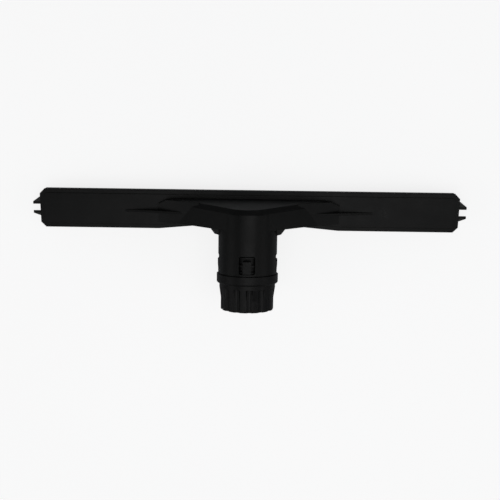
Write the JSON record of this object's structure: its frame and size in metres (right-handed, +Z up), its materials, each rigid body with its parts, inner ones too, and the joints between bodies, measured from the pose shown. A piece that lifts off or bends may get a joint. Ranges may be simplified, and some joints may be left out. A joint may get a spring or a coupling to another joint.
{
  "type": "wet pick-up squeegee head",
  "caption": "Two-bladed wet pick-up squeegee head for a vacuum wand: long plate, hollow hood, snap-in swivel cuff and replaceable rubber blades.",
  "frame": {"origin": "bottom centre of the whole head's bounding box: the level of the blades' tips on the floor", "axes": "+X along the plate, +Y towards the front edge, +Z up from the blades' tips; the neck points to -Y and rises 6 degrees"},
  "size_m": [0.4024, 0.1046, 0.0764],
  "materials": {
    "body_plastic": "black moulded plastic, fine satin grain",
    "cuff_plastic": "black moulded plastic, satin",
    "holder_plastic": "dark moulded plastic",
    "blade_rubber": "grey rubber",
    "seal_rubber": "black rubber",
    "screw_steel": "stainless steel"
  },
  "bodies": {
    "root": {"nozzle_body": "body_plastic", "blade_holder": "holder_plastic", "holder_gasket": "seal_rubber", "front_clamp_strip": "holder_plastic", "rear_clamp_strip": "holder_plastic", "front_clamp_screws": "screw_steel", "rear_clamp_screws": "screw_steel", "holder_screws": "screw_steel"},
    "cuff": {"swivel_cuff": "cuff_plastic", "cuff_oring": "seal_rubber", "wand_seal": "seal_rubber"},
    "front_lip": {"front_blade": "blade_rubber"},
    "rear_lip": {"rear_blade": "blade_rubber"},
    "upper_snap": {"upper_tongue": "body_plastic"},
    "left_snap": {"left_tongue": "body_plastic"},
    "lower_snap": {"lower_tongue": "body_plastic"},
    "right_snap": {"right_tongue": "body_plastic"}
  },
  "joints": [
    {"name": "cuff_swivel", "type": "hinge", "parent": "root", "child": "cuff", "pos_m": [0, -0.0067, 0.04714], "axis": [0, -0.9945, 0.1045], "continuous": true},
    {"name": "front_blade_flex", "type": "hinge", "parent": "root", "child": "front_lip", "pos_m": [0, 0.03844, 0.0156], "axis": [1, 0, 0], "range_deg": [-12, 12], "stiffness_Nm_per_rad": 2},
    {"name": "rear_blade_flex", "type": "hinge", "parent": "root", "child": "rear_lip", "pos_m": [0, 0.02964, 0.0156], "axis": [1, 0, 0], "range_deg": [-12, 12], "stiffness_Nm_per_rad": 2},
    {"name": "upper_tongue_flex", "type": "hinge", "parent": "root", "child": "upper_snap", "pos_m": [0, -0.01265, 0.07275], "axis": [1, 0, 0], "range_deg": [0, 7], "stiffness_Nm_per_rad": 1},
    {"name": "left_tongue_flex", "type": "hinge", "parent": "root", "child": "left_snap", "pos_m": [-0.02485, -0.01525, 0.04804], "axis": [0, 0.1045, 0.9945], "range_deg": [0, 7], "stiffness_Nm_per_rad": 1},
    {"name": "lower_tongue_flex", "type": "hinge", "parent": "root", "child": "lower_snap", "pos_m": [0, -0.01785, 0.02332], "axis": [-1, 0, 0], "range_deg": [0, 7], "stiffness_Nm_per_rad": 1},
    {"name": "right_tongue_flex", "type": "hinge", "parent": "root", "child": "right_snap", "pos_m": [0.02485, -0.01525, 0.04804], "axis": [0, -0.1045, -0.9945], "range_deg": [0, 7], "stiffness_Nm_per_rad": 1}
  ]
}
